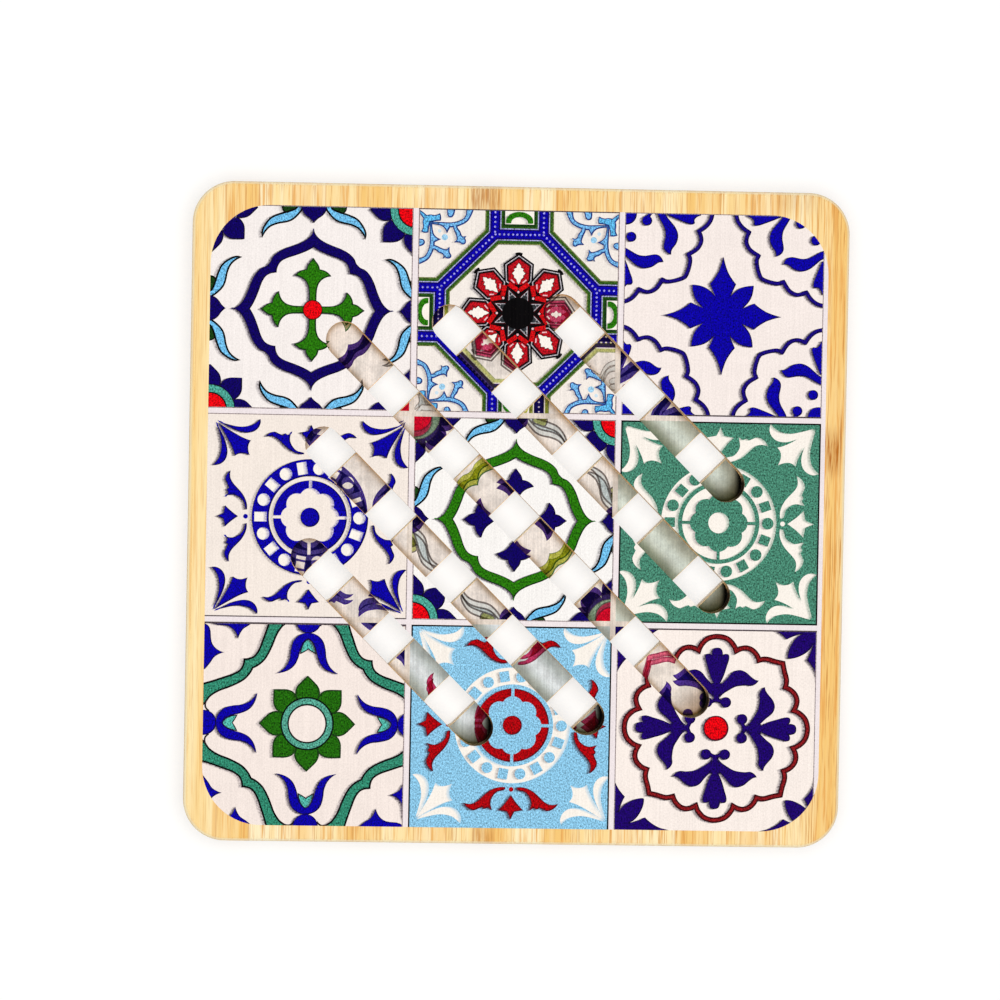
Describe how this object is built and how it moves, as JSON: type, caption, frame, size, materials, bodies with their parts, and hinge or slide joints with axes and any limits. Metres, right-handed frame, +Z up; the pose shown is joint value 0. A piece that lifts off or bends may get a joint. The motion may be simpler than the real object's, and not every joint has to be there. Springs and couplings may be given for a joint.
{
  "type": "trivet",
  "caption": "Square bamboo pot stand of edge-glued strips, with crossing diagonal slots that open into square holes and a printed patchwork of traditional tiles on top.",
  "frame": {"origin": "middle of the underside, at the height of the table", "axes": "+Z up out of the printed face, +Y along the grain towards the top row of tiles, +X to the right"},
  "size_m": [0.15, 0.15, 0.0101],
  "materials": {
    "bamboo_pale": "sanded bamboo, satin oil",
    "bamboo_honey": "sanded bamboo, satin oil",
    "bamboo_light": "sanded bamboo, satin oil",
    "bamboo_amber": "sanded bamboo, satin oil",
    "navy_ink": "cured print ink, satin",
    "ultramarine_ink": "cured print ink, satin",
    "violet_blue_ink": "cured print ink, satin",
    "cobalt_ink": "cured print ink, satin",
    "leaf_green_ink": "cured print ink, satin",
    "sea_green_ink": "cured print ink, satin",
    "teal_ink": "cured print ink, satin",
    "sky_blue_ink": "cured print ink, satin",
    "plum_ink": "cured print ink, satin",
    "grout_ink": "cured print ink, satin"
  },
  "bodies": {
    "root": {"bamboo_strip_left_01": "bamboo_amber", "bamboo_strip_left_02": "bamboo_light", "bamboo_strip_left_03": "bamboo_honey", "bamboo_strip_left_04": "bamboo_pale", "bamboo_strip_left_05": "bamboo_amber", "bamboo_strip_left_06": "bamboo_light", "bamboo_strip_left_07": "bamboo_honey", "bamboo_strip_left_08": "bamboo_pale", "bamboo_strip_left_09": "bamboo_amber", "bamboo_strip_left_10": "bamboo_light", "bamboo_strip_right_01": "bamboo_pale", "bamboo_strip_right_02": "bamboo_amber", "bamboo_strip_right_03": "bamboo_light", "bamboo_strip_right_04": "bamboo_honey", "bamboo_strip_right_05": "bamboo_pale", "bamboo_strip_right_06": "bamboo_amber", "bamboo_strip_right_07": "bamboo_light", "bamboo_strip_right_08": "bamboo_honey", "bamboo_strip_right_09": "bamboo_pale", "bamboo_strip_right_10": "bamboo_amber", "tile_print_top_left": "navy_ink", "tile_print_top_centre": "ultramarine_ink", "tile_print_top_right": "violet_blue_ink", "tile_print_middle_left": "cobalt_ink", "tile_print_middle_centre": "leaf_green_ink", "tile_print_middle_right": "sea_green_ink", "tile_print_bottom_left": "teal_ink", "tile_print_bottom_centre": "sky_blue_ink", "tile_print_bottom_right": "plum_ink", "grout_print": "grout_ink"}
  },
  "joints": []
}
